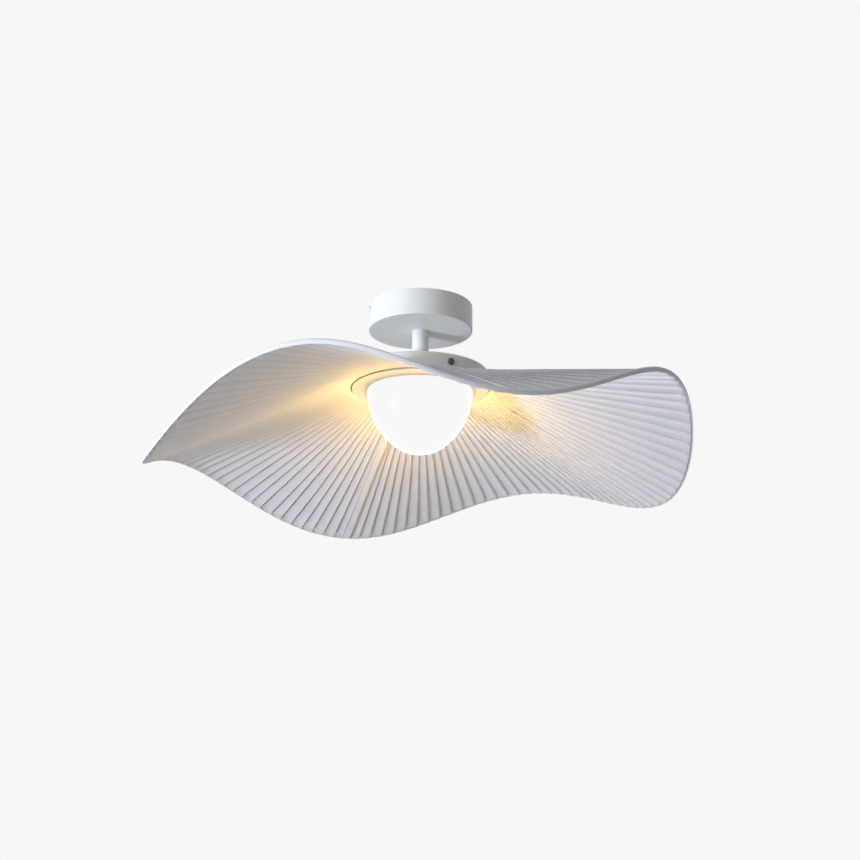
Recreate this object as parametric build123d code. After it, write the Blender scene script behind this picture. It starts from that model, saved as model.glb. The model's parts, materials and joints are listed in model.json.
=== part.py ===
# Ceiling light with a wavy pleated fabric shade, an opal glass and a short stem.
# Millimetres. The origin is the centre of the ceiling plane, +Z is up, so the light hangs below z = 0.
# Plan angles are in degrees from +X, turning towards +Y; the light was photographed from the -Y side.
from build123d import *
import math
import os

# General fits
seat_gap = 0.3            # between parts that lie side by side without a fit
thread_fit = 0.05         # radial, between a thread and its mating thread, both drawn plain
screw_hole_fit = 0.15     # radial, round a screw that passes through
overrun = 1               # how far a cutting shape runs past the faces it opens

# Mounting plate on the ceiling
plate_radius = 50
plate_thickness = 1.5
plate_cable_hole_radius = 10
ceiling_slot_spacing = 66
ceiling_slot_width = 5
ceiling_slot_length = 15
tab_angle = 15            # plan angle of the canopy screws
tab_width = 14
tab_drop = 15
tab_clearance = 1.3       # from a tab to the inside of the canopy

# Canopy
canopy_radius = 60
canopy_height = 30
canopy_wall = 1.2
canopy_edge_radius = 1.5
canopy_screw_drop = 9     # from the ceiling to the canopy screws

# Threads and screws
m4_radius = 2
m4_head_radius = 3.8
m4_head_height = 2.2
m4_screw_length = 7
m4_nut_height = 3.2
m4_nut_radius = 4.04      # across corners
m3_radius = 1.5
m3_head_radius = 2.8
m3_head_height = 1.8
m10_radius = 5
m10_bore_radius = 3.5
m10_nut_radius = 9.2      # across corners
m10_nut_height = 4.5
m10_washer_radius = 10
m10_washer_thickness = 1
cross_recess_width = 0.9
screw_head_rounding = 0.6 # share of a head's height taken by its rounded edge

# Stem
stem_length = 49.5
stem_radius = 9.5
stem_wall = 2.5
tube_stand_out = 3        # thread that shows above the upper nut

# Drum and tray
drum_radius = 77.5
drum_height = 13.5
drum_wall = 1.2
drum_edge_radius = 3
drum_screw_count = 3
first_drum_screw_angle = 295.5
drum_screw_drop = 9.8     # from the top of the drum to its side screws
tray_thickness = 1
tray_ring_wall = 1
tray_ring_height = 14.5   # from the tray to the ring's upper edge
glass_collar_height = 9.5
glass_collar_wall = 2

# Shade
shade_radius = 300
hub_strip_height = 6.6
hub_strip_thickness = 1
rim_wire_radius = 1.5
spoke_radius = 1.25
spoke_end_gap = 0.7       # their square ends slope, so they stop a little short of the ring and the wire
binding_fit = 0.1         # radial, between the wire and the binding round it
binding_wall = 0.9
binding_tail = 3.0        # how far the binding's two legs reach in from round the wire
binding_leg_thickness = 0.85
binding_slit = 0.3
binding_butt_gap = 0.4
fabric_thickness = 1.2
pleat_pitch = 3.05        # degrees
pleat_rise_share = 0.8    # part of a pleat's pitch taken by its broad face
hub_pleat_depth = 4
rim_pleat_depth = 2.4
panel_edge_offset = 1.8   # from a spoke's centre line to the panel beside it
panel_hub_gap = 0.5
strip_hub_width = 8.5     # the flat strip that covers the panels' seam at the rear
strip_rim_width = 12.5
strip_thickness = 0.6
strip_clearance = 0.2     # under the lowest folds of the panels
strip_hub_gap = 1.5
strip_rim_gap = 0.5
ring_step = 4             # degrees between the sections of the rim wire and its binding

# Heights of the rim wire where it turns
right_trough_z = -210
rear_right_crest_z = -159
rear_trough_z = -217.5
rear_left_crest_z = -162
left_trough_z = -206
front_left_crest_z = -144
front_trough_z = -191
front_right_crest_z = -132

# Turning points of the rim: plan angle and height of the wire, a trough and a crest in turn
rim_turns = [
    (16, right_trough_z),
    (62, rear_right_crest_z),
    (109.5, rear_trough_z),
    (159, rear_left_crest_z),
    (202, left_trough_z),
    (249, front_left_crest_z),
    (286, front_trough_z),
    (328, front_right_crest_z),
]

# Plan angles of the spokes, which are also the seams between the panels
spoke_angles = [17, 109.5, 218, 286]
seam_strip_angle = spoke_angles[1]

# Opal glass and the threaded ring bonded in its mouth
glass_radius = 60
glass_depth = 74
glass_bottom_radius = 46.3
glass_wall = 2.8
glass_edge_radius = 1.2
glass_bond_gap = 0.2      # radial, filled by the adhesive
glass_ring_bore = 44.8
glass_ring_flange = 1.5
glass_ring_radius = 47.6  # of the ring's thread
glass_ring_height = 13    # from the glass's mouth to the top of the thread
gasket_thickness = 0.6
gasket_gap = 0.1
gasket_margin = 1         # from the edge of the ring's flange to the gasket
gasket_width = 6

# Lampholder and bulb
holder_radius = 20
holder_cap_height = 6
holder_cap_top = 2
holder_chamber_radius = 16.5
holder_body_height = 26
holder_floor = 2
holder_edge_radius = 1.5
shell_wall = 0.6
shell_length = 20
shell_recess = 1          # from the holder's mouth up to the shell
shell_lug_width = 4
shell_lug_gap = 0.2       # on each side of the lug where it passes the holder's floor
shell_lug_drop = 0.6      # from the end of the threaded tube to the lug
shell_lug_overlap = 2     # length of the lug that runs down into the shell
contact_radius = 4
contact_thickness = 0.8
contact_post_radius = 1
contact_post_rise = 1     # how far the post stands above the holder's body
bulb_thread_radius = 13.1
bulb_length = 62
bulb_globe_radius = 19
bulb_cap_length = 25
bulb_collar_height = 3
bulb_tip_radius = 4.5
bulb_tip_height = 1.5
bulb_tip_gap = 0.1        # between the bulb's tip and the contact
bulb_insulator_height = 3
bulb_globe_wall = 1.2

# Wiring
wire_radius = 1
wire_spacing = 3.2        # between the two wires inside the stem
wire_bend_radius = 3
wire_end_bend_radius = 2
wire_block_insertion = 3  # length of wire inside the terminal block
wire_block_run = 9        # straight run of wire out of the terminal block
wire_stem_drop = 3        # from the terminals down to the bend above the stem
block_length = 30
block_width = 17
block_height = 13
block_offset = 27         # from the axis to the middle of the terminal block
pole_pitch = 9
pole_height_share = 0.45  # share of the block's height from the plate to its wires
pole_hole_radius = 1.6
pole_hole_depth = 5
terminal_well_radius = 1.8
terminal_well_depth = 4
terminal_well_offset = 4  # from the middle of the block to its two rows of wells
terminal_screw_radius = 1.6
terminal_screw_length = 3
terminal_slot_width = 0.6
terminal_slot_depth = 0.6

# Earth connection
earth_screw_offset = -30
earth_lug_thickness = 0.8
earth_lug_radius = 4
earth_neck_length = 3
earth_neck_offset = -4.2  # from the earth screw to the middle of the lug's neck
earth_barrel_length = 5
earth_barrel_radius = 1.7
earth_barrel_offset = -7  # from the earth screw to the middle of the barrel
earth_barrel_drop = 1.8   # from the plate to the barrel's axis
earth_barrel_fit = 0.05
earth_wire_turn_y = -12   # where the wire leaves the terminals' side of the stem
earth_wire_turn_drop = 4
earth_wire_end_run = 9    # straight run of wire beside the barrel
earth_wire_wide_bend = 6

# Heights that follow from the sizes above
canopy_floor_z = -canopy_height + canopy_wall
drum_top_z = -canopy_height - stem_length
drum_ceiling_z = drum_top_z - drum_wall
drum_bottom_z = drum_top_z - drum_height
tray_top_z = drum_bottom_z - hub_strip_height
tray_bottom_z = tray_top_z - tray_thickness
drum_screw_z = drum_top_z - drum_screw_drop
glass_top_z = tray_bottom_z - gasket_thickness - 2 * gasket_gap
glass_bottom_z = glass_top_z - glass_depth
tube_top_z = canopy_floor_z + m10_washer_thickness + m10_nut_height + tube_stand_out
lower_nut_bottom_z = drum_ceiling_z - m10_washer_thickness - m10_nut_height
holder_top_z = lower_nut_bottom_z - seat_gap
tube_bottom_z = holder_top_z - holder_cap_top
holder_body_top_z = holder_top_z - holder_cap_height
holder_cavity_top_z = holder_body_top_z - holder_floor
holder_mouth_z = holder_body_top_z - holder_body_height
shell_inner_radius = bulb_thread_radius + thread_fit
shell_outer_radius = shell_inner_radius + shell_wall
shell_bottom_z = holder_mouth_z + shell_recess
bulb_top_z = holder_cavity_top_z - contact_thickness - bulb_tip_gap
bulb_bottom_z = bulb_top_z - bulb_length

# Radii that follow from the sizes above
drum_inner_radius = drum_radius - drum_wall
tray_ring_radius = drum_inner_radius - seat_gap
tray_ring_inner_radius = tray_ring_radius - tray_ring_wall
tray_bore_radius = glass_ring_radius + thread_fit
glass_flange_radius = glass_radius - glass_wall - glass_bond_gap
gasket_outer_radius = glass_flange_radius - gasket_margin
gasket_inner_radius = gasket_outer_radius - gasket_width
hub_inner_radius = tray_ring_radius + seat_gap
hub_outer_radius = hub_inner_radius + hub_strip_thickness
hub_mid_z = drum_bottom_z - hub_strip_height / 2
binding_inner_radius = rim_wire_radius + binding_fit
binding_outer_radius = binding_inner_radius + binding_wall
rim_centre_radius = shade_radius - binding_outer_radius
binding_inner_reach = binding_outer_radius + binding_tail
ring_sagitta = rim_centre_radius * (1 - math.cos(math.radians(ring_step / 2)))
panel_inner_radius = hub_outer_radius + panel_hub_gap
panel_outer_radius = rim_centre_radius - binding_inner_reach - ring_sagitta - seat_gap


# Small helpers

def polar(radius, angle, z=0.0):
    """The point at a plan radius, a plan angle in degrees and a height."""
    turn = math.radians(angle)
    return Vector(radius * math.cos(turn), radius * math.sin(turn), z)


def rod(radius, top_z, bottom_z, x=0.0, y=0.0):
    """An upright cylinder between two heights."""
    height = top_z - bottom_z
    return Pos(x, y, (top_z + bottom_z) / 2) * Cylinder(radius, height)


def tube(outer_radius, inner_radius, top_z, bottom_z):
    """An upright tube between two heights."""
    height = top_z - bottom_z
    ring = Cylinder(outer_radius, height) - Cylinder(inner_radius, 2 * height)
    return Pos(0, 0, (top_z + bottom_z) / 2) * ring


def hex_prism(corner_radius, top_z, bottom_z):
    """An upright hexagonal prism between two heights."""
    outline = RegularPolygon(corner_radius, 6)
    return Pos(0, 0, bottom_z) * extrude(outline, top_z - bottom_z)


def radial_plane(radius, angle, z):
    """A plane that faces outwards at a plan angle, its X axis level."""
    origin = polar(radius, angle, z)
    return Plane(origin=origin, x_dir=polar(1, angle + 90), z_dir=polar(1, angle))


def side_rod(radius, start, end, angle, z):
    """A level cylinder that points outwards from one plan radius to another."""
    plane = radial_plane((start + end) / 2, angle, z)
    return plane * Cylinder(radius, end - start)


def pan_head_screw(shank_radius, head_radius, head_height, shank_length):
    """A screw along Z: its head above z = 0 with a cross recess, its shank below."""
    head = Pos(0, 0, head_height / 2) * Cylinder(head_radius, head_height)
    head = fillet(head.edges().sort_by(Axis.Z)[-1], head_height * screw_head_rounding)
    shank = Pos(0, 0, -shank_length / 2) * Cylinder(shank_radius, shank_length)
    slot = Box(head_radius, cross_recess_width, head_height)
    recess = Pos(0, 0, head_height) * (slot + Rot(0, 0, 90) * slot)
    return head + shank - recess


def solid_loft(sections):
    """A straight-sided solid through closed outlines."""
    return Solid.make_loft([Wire(section) for section in sections], ruled=True)


# Shape of the shade

def rim_height(angle):
    """Height of the rim wire: half a cosine wave from each turning point to the next."""
    first_angle = rim_turns[0][0]
    turn = (angle - first_angle) % 360 + first_angle
    closed = rim_turns + [(first_angle + 360, rim_turns[0][1])]
    for (angle_a, z_a), (angle_b, z_b) in zip(closed, closed[1:]):
        if angle_a <= turn <= angle_b:
            share = (turn - angle_a) / (angle_b - angle_a)
            return z_a + (z_b - z_a) * (1 - math.cos(math.pi * share)) / 2
    return closed[-1][1]


def fabric_height(radius, angle):
    """Height of the fabric's middle, on the straight line from the hub strip to the rim wire."""
    share = (radius - hub_outer_radius) / (rim_centre_radius - hub_outer_radius)
    return hub_mid_z + (rim_height(angle) - hub_mid_z) * share


# Ceiling fixing

def make_mounting_plate():
    """Round steel plate with two screw slots, a cable hole and two bent tabs for the canopy."""
    tab_face = canopy_radius - canopy_wall - tab_clearance
    through_z = -plate_thickness - overrun
    plate = rod(plate_radius, 0, -plate_thickness)
    for angle in (tab_angle, tab_angle + 180):
        turned = Rot(0, 0, angle)
        arm = Box(tab_face, tab_width, plate_thickness, align=(Align.MIN, Align.CENTER, Align.MAX))
        tab = Box(plate_thickness, tab_width, tab_drop, align=(Align.MAX, Align.CENTER, Align.MAX))
        plate += turned * (arm + Pos(tab_face, 0, 0) * tab)
        inner_face = tab_face - plate_thickness - overrun
        plate -= side_rod(m4_radius + thread_fit, inner_face, canopy_radius, angle, -canopy_screw_drop)
    slot = extrude(SlotOverall(ceiling_slot_length, ceiling_slot_width), plate_thickness, both=True)
    for x in (-ceiling_slot_spacing / 2, ceiling_slot_spacing / 2):
        plate -= Pos(x, 0, 0) * slot
    plate -= rod(plate_cable_hole_radius, overrun, through_z)
    plate -= rod(m3_radius + thread_fit, overrun, through_z, x=block_screw_x(), y=block_offset)
    plate -= rod(m4_radius + thread_fit, overrun, through_z, y=earth_screw_offset)
    return plate


def make_canopy():
    """Shallow steel cup that covers the fixing, open towards the ceiling."""
    cup = rod(canopy_radius, 0, -canopy_height)
    cup = fillet(cup.edges().sort_by(Axis.Z)[0], canopy_edge_radius)
    inner_radius = canopy_radius - canopy_wall
    cup -= rod(inner_radius, overrun, canopy_floor_z)
    cup -= rod(m10_radius + screw_hole_fit, 0, -canopy_height - overrun)
    for angle in (tab_angle, tab_angle + 180):
        cup -= side_rod(m4_radius + screw_hole_fit, inner_radius - overrun, canopy_radius + overrun, angle,
                        -canopy_screw_drop)
    return cup


def make_canopy_screws():
    """Two small screws through the canopy's wall into the plate's tabs."""
    screw = pan_head_screw(m4_radius, m4_head_radius, m4_head_height, m4_screw_length)
    angles = (tab_angle, tab_angle + 180)
    return [radial_plane(canopy_radius, angle, -canopy_screw_drop) * screw for angle in angles]


# Stem

def make_threaded_tube():
    """Hollow threaded tube that ties the canopy, stem, drum and lampholder together."""
    return tube(m10_radius, m10_bore_radius, tube_top_z, tube_bottom_z)


def make_washer(top_z):
    """Flat washer on the threaded tube."""
    return tube(m10_washer_radius, m10_radius + screw_hole_fit, top_z, top_z - m10_washer_thickness)


def make_hex_nut(top_z):
    """Thin nut on the threaded tube."""
    bottom_z = top_z - m10_nut_height
    bore = rod(m10_radius + thread_fit, top_z + overrun, bottom_z - overrun)
    return hex_prism(m10_nut_radius, top_z, bottom_z) - bore


def make_stem():
    """Stem sleeve between the canopy and the drum."""
    bore = max(stem_radius - stem_wall, m10_radius + screw_hole_fit)
    return tube(stem_radius, bore, -canopy_height, drum_top_z)


# Drum and tray

def make_drum():
    """Upper pan: a spun steel cup, open downwards, with a rounded upper edge."""
    pan = rod(drum_radius, drum_top_z, drum_bottom_z)
    pan = fillet(pan.edges().sort_by(Axis.Z)[-1], drum_edge_radius)
    hollow = rod(drum_inner_radius, drum_ceiling_z, drum_bottom_z - overrun)
    hollow = fillet(hollow.edges().sort_by(Axis.Z)[-1], drum_edge_radius - drum_wall)
    pan -= hollow
    pan -= rod(m10_radius + screw_hole_fit, drum_top_z + overrun, drum_bottom_z)
    for angle in drum_screw_angles():
        pan -= side_rod(m4_radius + screw_hole_fit, drum_inner_radius - overrun, drum_radius + overrun, angle,
                        drum_screw_z)
    return pan


def drum_screw_angles():
    """Plan angles of the drum's side screws, evenly spaced."""
    step = 360 / drum_screw_count
    return [first_drum_screw_angle + step * index for index in range(drum_screw_count)]


def make_tray():
    """Flat ring under the shade's hub, open in the middle for the glass."""
    return tube(drum_radius, tray_bore_radius, tray_top_z, tray_bottom_z)


def make_tray_ring():
    """Steel ring welded on the tray, which the drum slides over and the side screws hold."""
    ring = tube(tray_ring_radius, tray_ring_inner_radius, tray_top_z + tray_ring_height, tray_top_z)
    inner_face = tray_ring_inner_radius - overrun
    for angle in drum_screw_angles():
        ring -= side_rod(m4_radius + screw_hole_fit, inner_face, drum_radius, angle, drum_screw_z)
    return ring


def make_glass_collar():
    """Threaded ring welded on the tray, which takes the ring in the glass's mouth."""
    outer_radius = tray_bore_radius + glass_collar_wall
    return tube(outer_radius, tray_bore_radius, tray_top_z + glass_collar_height, tray_top_z)


def make_tray_nuts():
    """Weld nuts on the inside of the tray's ring."""
    face = tray_ring_inner_radius - seat_gap
    nuts = []
    for angle in drum_screw_angles():
        nut = extrude(RegularPolygon(m4_nut_radius, 6), -m4_nut_height)
        nut -= Cylinder(m4_radius + thread_fit, 3 * m4_nut_height)
        nuts.append(radial_plane(face, angle, drum_screw_z) * nut)
    return nuts


def make_drum_screws():
    """Side screws that hold the tray, and with it the shade, to the drum."""
    screw = pan_head_screw(m4_radius, m4_head_radius, m4_head_height, m4_screw_length)
    return [radial_plane(drum_radius, angle, drum_screw_z) * screw for angle in drum_screw_angles()]


# Shade frame

def make_hub_strip():
    """Steel strip ring, clamped between the drum's edge and the tray's flange."""
    return tube(hub_outer_radius, hub_inner_radius, drum_bottom_z, tray_top_z)


def spoke_ends(angle):
    """The two ends of a spoke's centre line: at the hub strip and at the rim wire."""
    start_radius = hub_outer_radius + spoke_end_gap
    end_radius = rim_centre_radius - rim_wire_radius - spoke_end_gap
    start = polar(start_radius, angle, fabric_height(start_radius, angle))
    end = polar(end_radius, angle, fabric_height(end_radius, angle))
    return start, end


def make_spoke(angle, radius):
    """A straight round bar along a spoke's centre line."""
    start, end = spoke_ends(angle)
    reach = end - start
    plane = Plane(origin=(start + end) * 0.5, z_dir=reach)
    return plane * Cylinder(radius, reach.length)


def make_spokes():
    """Spokes from the hub strip to the rim wire."""
    return [make_spoke(angle, spoke_radius) for angle in spoke_angles]


def ring_angles():
    """Plan angles of the rim's sections; the ring's ends butt together at the seam strip."""
    start = seam_strip_angle
    gap = math.degrees(binding_butt_gap / shade_radius)
    count = round(360 / ring_step)
    return [start + gap / 2 + (360 - gap) * index / count for index in range(count + 1)]


def make_rim_wire():
    """Round wire bent to the wavy outline of the shade."""
    sections = []
    for angle in ring_angles():
        plane = radial_plane(rim_centre_radius, angle, rim_height(angle))
        upright = Plane(origin=plane.origin, x_dir=plane.z_dir, z_dir=-plane.x_dir)
        sections.append(Wire.make_circle(rim_wire_radius, upright))
    return Solid.make_loft(sections, ruled=True)


def binding_outline(plane):
    """Outline of the binding in a radial plane: two legs and the loop round the wire."""
    outer = binding_outer_radius
    inner = binding_inner_radius
    leg_top = binding_slit / 2 + binding_leg_thickness
    tail = -binding_inner_reach
    outer_join = -math.sqrt(outer ** 2 - leg_top ** 2)
    inner_join = -math.sqrt(inner ** 2 - (binding_slit / 2) ** 2)
    half = math.sqrt(0.5)

    def at(u, v):
        return plane.from_local_coords(Vector(u, v, 0))

    return [
        Line(at(tail, leg_top), at(outer_join, leg_top)),
        ThreePointArc(at(outer_join, leg_top), at(-outer * half, outer * half), at(0, outer)),
        ThreePointArc(at(0, outer), at(outer * half, outer * half), at(outer, 0)),
        ThreePointArc(at(outer, 0), at(outer * half, -outer * half), at(0, -outer)),
        ThreePointArc(at(0, -outer), at(-outer * half, -outer * half), at(outer_join, -leg_top)),
        Line(at(outer_join, -leg_top), at(tail, -leg_top)),
        Line(at(tail, -leg_top), at(tail, -binding_slit / 2)),
        Line(at(tail, -binding_slit / 2), at(inner_join, -binding_slit / 2)),
        ThreePointArc(at(inner_join, -binding_slit / 2), at(-inner * half, -inner * half), at(0, -inner)),
        ThreePointArc(at(0, -inner), at(inner * half, -inner * half), at(inner, 0)),
        ThreePointArc(at(inner, 0), at(inner * half, inner * half), at(0, inner)),
        ThreePointArc(at(0, inner), at(-inner * half, inner * half), at(inner_join, binding_slit / 2)),
        Line(at(inner_join, binding_slit / 2), at(tail, binding_slit / 2)),
        Line(at(tail, binding_slit / 2), at(tail, leg_top)),
    ]


def make_rim_binding():
    """Fabric binding folded round the rim wire, notched where the spokes reach the wire."""
    sections = []
    for angle in ring_angles():
        centre = polar(rim_centre_radius, angle, rim_height(angle))
        upright = Plane(origin=centre, x_dir=polar(1, angle), z_dir=polar(1, angle - 90))
        sections.append(binding_outline(upright))
    binding = solid_loft(sections)
    for angle in spoke_angles:
        binding -= make_spoke(angle, spoke_radius + screw_hole_fit)
    return binding


# Shade fabric

def panel_station(start_angle, end_angle, share, side):
    """One straight cross-section of a panel: side is -1 on a lower fold and +1 on an upper fold."""
    corners = []
    for radius, depth in ((panel_inner_radius, hub_pleat_depth), (panel_outer_radius, rim_pleat_depth)):
        margin = math.degrees(math.asin(panel_edge_offset / radius))
        angle = start_angle + margin + (end_angle - start_angle - 2 * margin) * share
        middle = fabric_height(radius, angle) + side * depth / 2
        corners.append((radius, angle, middle))
    (r_in, a_in, z_in), (r_out, a_out, z_out) = corners
    half = fabric_thickness / 2
    return Polyline(
        polar(r_in, a_in, z_in - half),
        polar(r_out, a_out, z_out - half),
        polar(r_out, a_out, z_out + half),
        polar(r_in, a_in, z_in + half),
        close=True,
    )


def make_fabric_panel(start_angle, end_angle):
    """Pleated fabric between two spokes, its folds running from the hub to the rim."""
    count = round((end_angle - start_angle) / pleat_pitch)
    sections = []
    for pleat in range(count):
        sections.append(panel_station(start_angle, end_angle, pleat / count, -1))
        sections.append(panel_station(start_angle, end_angle, (pleat + pleat_rise_share) / count, 1))
    sections.append(panel_station(start_angle, end_angle, 1, -1))
    return solid_loft([section.edges() for section in sections])


def make_seam_strip():
    """Flat cloth strip sewn over the panels' seam under the rear spoke, from the hub to the binding."""
    angle = seam_strip_angle
    inner = hub_outer_radius + strip_hub_gap
    outer = rim_centre_radius - binding_inner_reach - ring_sagitta - strip_rim_gap
    ends = []
    for radius, depth, width in (
        (inner, hub_pleat_depth, strip_hub_width),
        (outer, rim_pleat_depth, strip_rim_width),
    ):
        top = fabric_height(radius, angle) - depth / 2 - fabric_thickness / 2 - strip_clearance
        side = polar(width / 2, angle + 90)
        ends.append(Polyline(
            polar(radius, angle, top) - side,
            polar(radius, angle, top) + side,
            polar(radius, angle, top - strip_thickness) + side,
            polar(radius, angle, top - strip_thickness) - side,
            close=True,
        ))
    return solid_loft([end.edges() for end in ends])


# Glass

def glass_outline(offset):
    """Half profile of the glass from its mouth to its lowest point, moved inwards by an offset."""
    bottom_radius = glass_bottom_radius
    rise = glass_depth - bottom_radius
    side_radius = (glass_radius ** 2 + rise ** 2 - bottom_radius ** 2) / (2 * (glass_radius - bottom_radius))
    side_centre = glass_radius - side_radius
    tilt = math.atan2(-rise, -side_centre)

    def side_point(share):
        return (side_centre + (side_radius - offset) * math.cos(tilt * share),
                glass_top_z + (side_radius - offset) * math.sin(tilt * share))

    def bottom_point(share):
        turn = tilt + (-math.pi / 2 - tilt) * share
        return ((bottom_radius - offset) * math.cos(turn),
                glass_bottom_z + bottom_radius + (bottom_radius - offset) * math.sin(turn))

    lowest = (0, bottom_point(1)[1])
    side = [side_point(0), side_point(0.5), side_point(1)]
    bottom = [bottom_point(0), bottom_point(0.5), lowest]
    return [ThreePointArc(*[Vector(x, 0, z) for x, z in points]) for points in (side, bottom)]


def revolved(edges, top_z):
    """A solid of revolution from a half profile that starts at a level top and ends on the axis."""
    start = edges[0] @ 0
    end = edges[-1] @ 1
    closing = [Line(Vector(0, 0, top_z), start), Line(end, Vector(0, 0, top_z))]
    return revolve(make_face([closing[0], *edges, closing[1]]), Axis.Z)


def make_glass():
    """Blown opal glass: an egg-shaped cup with its mouth at the top."""
    body = revolved(glass_outline(0), glass_top_z)
    body -= revolved(glass_outline(glass_wall), glass_top_z)
    mouth = body.edges().group_by(Axis.Z)[-1]
    return fillet(mouth.sort_by(SortBy.RADIUS)[-1], glass_edge_radius)


def make_glass_ring():
    """Metal ring bonded in the glass's mouth: a flat flange and a threaded neck."""
    flange = tube(glass_flange_radius, glass_ring_bore, glass_top_z, glass_top_z - glass_ring_flange)
    neck = tube(glass_ring_radius, glass_ring_bore, glass_top_z + glass_ring_height, glass_top_z)
    return flange + neck


def make_gasket():
    """Flat silicone ring between the tray and the ring in the glass's mouth."""
    top_z = tray_bottom_z - gasket_gap
    return tube(gasket_outer_radius, gasket_inner_radius, top_z, top_z - gasket_thickness)


# Lampholder

def make_holder_cap():
    """Upper half of the lampholder, threaded onto the tube, with the terminal chamber."""
    cap = rod(holder_radius, holder_top_z, holder_body_top_z)
    cap = fillet(cap.edges().sort_by(Axis.Z)[-1], holder_edge_radius)
    cap -= rod(holder_chamber_radius, tube_bottom_z, holder_body_top_z - overrun)
    cap -= rod(m10_radius + thread_fit, holder_top_z + overrun, holder_body_top_z)
    return cap


def make_holder_body():
    """Porcelain body with the bore for the screw shell."""
    body = rod(holder_radius, holder_body_top_z, holder_mouth_z)
    body = fillet(body.edges().sort_by(Axis.Z)[0], holder_edge_radius)
    body -= rod(shell_outer_radius + thread_fit, holder_cavity_top_z, holder_mouth_z - overrun)
    body -= rod(contact_post_radius + thread_fit, holder_top_z, holder_mouth_z, x=-wire_spacing / 2)
    lug_slot = Box(shell_wall + 2 * shell_lug_gap, shell_lug_width + 2 * shell_lug_gap, 3 * holder_floor)
    body -= Pos(shell_outer_radius - shell_wall / 2, 0, holder_cavity_top_z) * lug_slot
    return body


def make_screw_shell():
    """Brass shell that takes the bulb's thread, with its terminal lug."""
    top_z = shell_bottom_z + shell_length
    shell = tube(shell_outer_radius, shell_inner_radius, top_z, shell_bottom_z)
    lug_top_z = tube_bottom_z - shell_lug_drop
    lug_height = lug_top_z - top_z + shell_lug_overlap
    lug = Box(shell_wall, shell_lug_width, lug_height, align=(Align.MAX, Align.CENTER, Align.MAX))
    lug = Pos(shell_outer_radius, 0, lug_top_z) * lug
    cap_wall = rod(shell_outer_radius, lug_top_z + overrun, shell_bottom_z)
    return shell + (lug & cap_wall)


def make_centre_contact():
    """Brass contact above the bulb's tip, with its terminal post."""
    bottom_z = holder_cavity_top_z - contact_thickness
    disc = rod(contact_radius, holder_cavity_top_z, bottom_z)
    post = rod(contact_post_radius, post_top_z(), bottom_z, x=-wire_spacing / 2)
    return disc + post


def post_top_z():
    """Height of the contact post's top, where the live wire ends."""
    return holder_body_top_z + contact_post_rise


def make_bulb_cap():
    """Screw cap of the bulb: threaded shell, insulator and tip."""
    insulator_z = bulb_top_z - bulb_tip_height
    shell_z = insulator_z - bulb_insulator_height
    cap_bottom_z = bulb_top_z - bulb_cap_length
    tip = rod(bulb_tip_radius, bulb_top_z, insulator_z)
    profile = Polyline(
        (0, insulator_z),
        (bulb_tip_radius, insulator_z),
        (bulb_thread_radius, shell_z),
        (bulb_thread_radius, cap_bottom_z),
        (0, cap_bottom_z),
        close=True,
    )
    body = revolve(Plane.XZ * make_face(profile), Axis.Z)
    return tip + body


def make_bulb_globe():
    """Small opal globe of the bulb, with the collar that joins it to the cap."""
    collar_top_z = bulb_top_z - bulb_cap_length
    collar_bottom_z = collar_top_z - bulb_collar_height
    centre_z = bulb_bottom_z + bulb_globe_radius

    def shape(inset):
        wide = bulb_globe_radius - inset
        narrow = bulb_thread_radius - inset
        sphere = Pos(0, 0, centre_z) * Sphere(wide)
        sphere -= rod(bulb_length, centre_z + bulb_length, collar_bottom_z)
        height = collar_bottom_z - centre_z
        return sphere + Pos(0, 0, (collar_bottom_z + centre_z) / 2) * Cone(wide, narrow, height)

    collar = rod(bulb_thread_radius, collar_top_z, collar_bottom_z)
    return collar + shape(0) - shape(bulb_globe_wall)


# Wiring

def wire_along(points, radii):
    """Round wire swept along straight runs joined by arcs."""
    path = FilletPolyline(*points, radius=radii)
    section = Plane(origin=path @ 0, z_dir=path % 0) * Circle(wire_radius)
    return sweep(section, path=path)


def pole_x(index):
    """X of a terminal's middle: 0 is live, 1 is neutral, 2 is earth."""
    return (index - 1) * pole_pitch


def block_screw_x():
    """X of the screw that holds the terminal block, between two poles."""
    return pole_pitch / 2


def block_face_y():
    """Y of the terminal block's face towards the axis."""
    return block_offset - block_width / 2


def pole_z():
    """Height of the wires at the terminal block."""
    return -plate_thickness - pole_height_share * block_height


def terminal_spots():
    """Middles of the wells in the terminal block, two to a pole."""
    rows = (block_offset - terminal_well_offset, block_offset + terminal_well_offset)
    return [(pole_x(index), y) for index in range(3) for y in rows]


def make_terminal_block():
    """Three-pole terminal block, with holes for the light's wires and for the supply."""
    bottom_z = -plate_thickness - block_height
    block = Pos(0, block_offset, -plate_thickness) * Box(
        block_length, block_width, block_height, align=(Align.CENTER, Align.CENTER, Align.MAX))
    hole = Rot(90, 0, 0) * Cylinder(pole_hole_radius, 2 * pole_hole_depth)
    for index in range(3):
        for y in (block_face_y(), block_face_y() + block_width):
            block -= Pos(pole_x(index), y, pole_z()) * hole
    for x, y in terminal_spots():
        block -= rod(terminal_well_radius, bottom_z + terminal_well_depth, bottom_z - overrun, x, y)
    block -= rod(m3_radius + screw_hole_fit, 0, bottom_z - overrun, x=block_screw_x(), y=block_offset)
    return block


def make_terminal_screws():
    """Clamping screws sunk in the terminal block's wells."""
    top_z = -plate_thickness - block_height + terminal_well_depth
    bottom_z = top_z - terminal_screw_length
    slot = Box(4 * terminal_screw_radius, terminal_slot_width, 2 * terminal_slot_depth)
    screw = rod(terminal_screw_radius, top_z, bottom_z) - Pos(0, 0, bottom_z) * slot
    return [Pos(x, y, 0) * screw for x, y in terminal_spots()]


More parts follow.
